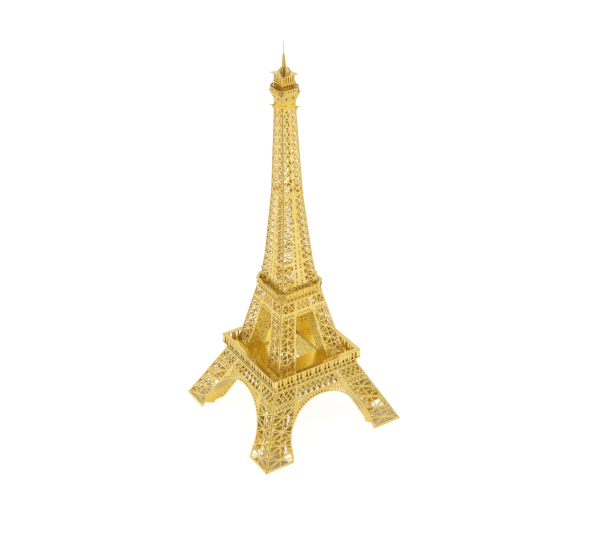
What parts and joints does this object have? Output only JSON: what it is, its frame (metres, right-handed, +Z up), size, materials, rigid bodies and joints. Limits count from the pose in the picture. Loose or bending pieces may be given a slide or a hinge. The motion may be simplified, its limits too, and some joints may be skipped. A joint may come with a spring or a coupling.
{
  "type": "miniature lattice tower",
  "caption": "Openwork metal tower model with arched splayed legs, slotted galleries, a tapering lattice shaft, a summit cabin and a needle spire.",
  "frame": {"origin": "centre of the square footprint, on the plane that the feet stand on", "axes": "+Z up the tower, +X and +Y square to two of its faces, with a leg at each of the four diagonal corners"},
  "size_m": [0.088, 0.088, 0.2218],
  "materials": {
    "lattice_brass": "polished gold-coloured etched sheet",
    "inner_brass": "satin gold-coloured etched sheet on the inner sides of the legs",
    "gallery_brass": "polished gold-coloured etched and folded sheet",
    "plain_brass": "mirror-polished gold-coloured plain sheet",
    "spire_brass": "polished gold-coloured rolled sheet"
  },
  "bodies": {
    "root": {"pier_front": "lattice_brass", "pier_right": "lattice_brass", "pier_back": "lattice_brass", "pier_left": "lattice_brass", "pier_inner_front": "inner_brass", "pier_inner_right": "inner_brass", "pier_inner_back": "inner_brass", "pier_inner_left": "inner_brass", "arch_south": "lattice_brass", "arch_east": "lattice_brass", "arch_north": "lattice_brass", "arch_west": "lattice_brass", "soffit_south": "plain_brass", "soffit_east": "plain_brass", "soffit_north": "plain_brass", "soffit_west": "plain_brass", "frieze_south": "lattice_brass", "frieze_east": "lattice_brass", "frieze_north": "lattice_brass", "frieze_west": "lattice_brass", "girder_inner": "inner_brass", "lower_cornice": "gallery_brass", "lower_shelf": "plain_brass", "lower_deck_skirt": "plain_brass", "lower_deck": "plain_brass", "lower_parapet": "gallery_brass", "lower_rail": "gallery_brass", "stage_leg_front": "lattice_brass", "stage_leg_right": "lattice_brass", "stage_leg_back": "lattice_brass", "stage_leg_left": "lattice_brass", "stage_inner_front": "inner_brass", "stage_inner_right": "inner_brass", "stage_inner_back": "inner_brass", "stage_inner_left": "inner_brass", "beam_south": "lattice_brass", "beam_east": "lattice_brass", "beam_north": "lattice_brass", "beam_west": "lattice_brass", "upper_cornice": "gallery_brass", "upper_deck": "plain_brass", "upper_parapet": "gallery_brass", "upper_parapet_rail": "gallery_brass", "shaft_lower_front": "lattice_brass", "shaft_lower_back": "lattice_brass", "splice_plate": "gallery_brass", "shaft_upper_front": "lattice_brass", "shaft_upper_back": "lattice_brass", "spike_plate": "gallery_brass", "summit_brackets": "gallery_brass", "summit_deck": "plain_brass", "summit_parapet": "gallery_brass", "lower_cabin": "gallery_brass", "upper_cabin": "gallery_brass", "roof_plate": "gallery_brass", "lantern_post": "spire_brass", "lantern_arch_outer": "spire_brass", "lantern_arch_inner": "spire_brass", "spire_cone": "spire_brass", "needle": "spire_brass"}
  },
  "joints": []
}
